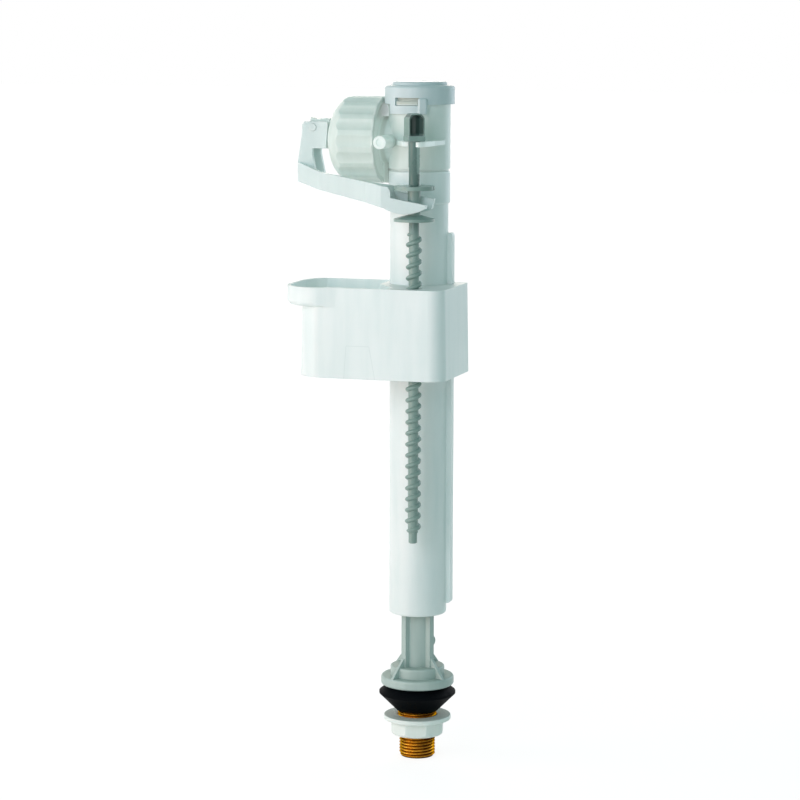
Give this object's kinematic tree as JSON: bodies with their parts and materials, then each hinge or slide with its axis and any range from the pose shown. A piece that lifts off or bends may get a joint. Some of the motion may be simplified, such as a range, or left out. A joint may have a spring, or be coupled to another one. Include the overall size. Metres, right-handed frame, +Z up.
{
  "type": "bottom inlet fill valve",
  "caption": "Cistern fill valve with a bottom inlet: telescoping tube on a ribbed stem, float cup on a coarse screw, lever arm and a diaphragm head under a fluted cap nut.",
  "frame": {"origin": "centre of the lower end face of the threaded tail", "axes": "+Z up the tube, -X towards the diaphragm housing, -Y towards the adjusting screw"},
  "size_m": [0.0974, 0.0717, 0.3934],
  "materials": {
    "white_plastic": "satin moulded, white",
    "grey_plastic": "satin moulded, grey",
    "natural_plastic": "milky translucent, uncoloured",
    "arm_plastic": "milky white",
    "cap_plastic": "satin moulded, cool white",
    "ivory_plastic": "satin moulded, ivory",
    "rubber": "smooth black",
    "brass": "turned and threaded"
  },
  "bodies": {
    "stem": {"inlet_stem": "grey_plastic", "threaded_tail": "brass", "cone_washer": "rubber", "inlet_filter": "white_plastic"},
    "clamp": {"seating_washer": "ivory_plastic"},
    "nut": {"back_nut": "white_plastic"},
    "valve": {"outer_tube": "white_plastic", "guide_bush": "grey_plastic", "riser_tube": "grey_plastic", "riser_seals": "rubber", "head_body": "natural_plastic", "inlet_elbow": "white_plastic", "diaphragm": "rubber", "pilot_cover": "natural_plastic", "pilot_jet": "brass", "pivot_pin": "natural_plastic", "cap_nut": "natural_plastic", "top_cap": "cap_plastic", "cap_seal": "rubber"},
    "lever": {"lever_arm": "arm_plastic", "pilot_pad": "rubber"},
    "spool": {"lift_collar": "grey_plastic"},
    "screw": {"adjusting_screw": "grey_plastic"},
    "float": {"float_cup": "white_plastic"}
  },
  "joints": [
    {"name": "height_adjust", "type": "slide", "parent": "stem", "child": "valve", "axis": [0, 0, 1], "range_m": [-0.015, 0.055]},
    {"name": "float_rise", "type": "slide", "parent": "valve", "child": "spool", "axis": [0, 0, 1], "range_m": [0, 0.007]},
    {"name": "arm_swing", "type": "hinge", "parent": "valve", "child": "lever", "pos_m": [-0.0613, 0, 0.3667], "axis": [0, -1, 0], "range_deg": [0, 5.9]},
    {"name": "float_height", "type": "slide", "parent": "spool", "child": "float", "axis": [0, 0, 1], "range_m": [-0.06, 0.028]},
    {"name": "screw_turn", "type": "hinge", "parent": "spool", "child": "screw", "pos_m": [0.0068, -0.033, 0.3], "axis": [0, 0, 1], "range_deg": [-1605, 3435]},
    {"name": "nut_travel", "type": "slide", "parent": "stem", "child": "clamp", "axis": [0, 0, 1], "range_m": [-0.008, 0.0025]},
    {"name": "nut_turn", "type": "hinge", "parent": "clamp", "child": "nut", "pos_m": [0, 0, 0.0176], "axis": [0, 0, 1], "range_deg": [-1590, 497]}
  ],
  "couplings": [
    {"joint": "arm_swing", "follows": "float_rise", "rad_per_m": 14.684},
    {"joint": "screw_turn", "follows": "float_height", "rad_per_m": -997.33},
    {"joint": "nut_turn", "follows": "nut_travel", "rad_per_m": 3463.7}
  ]
}
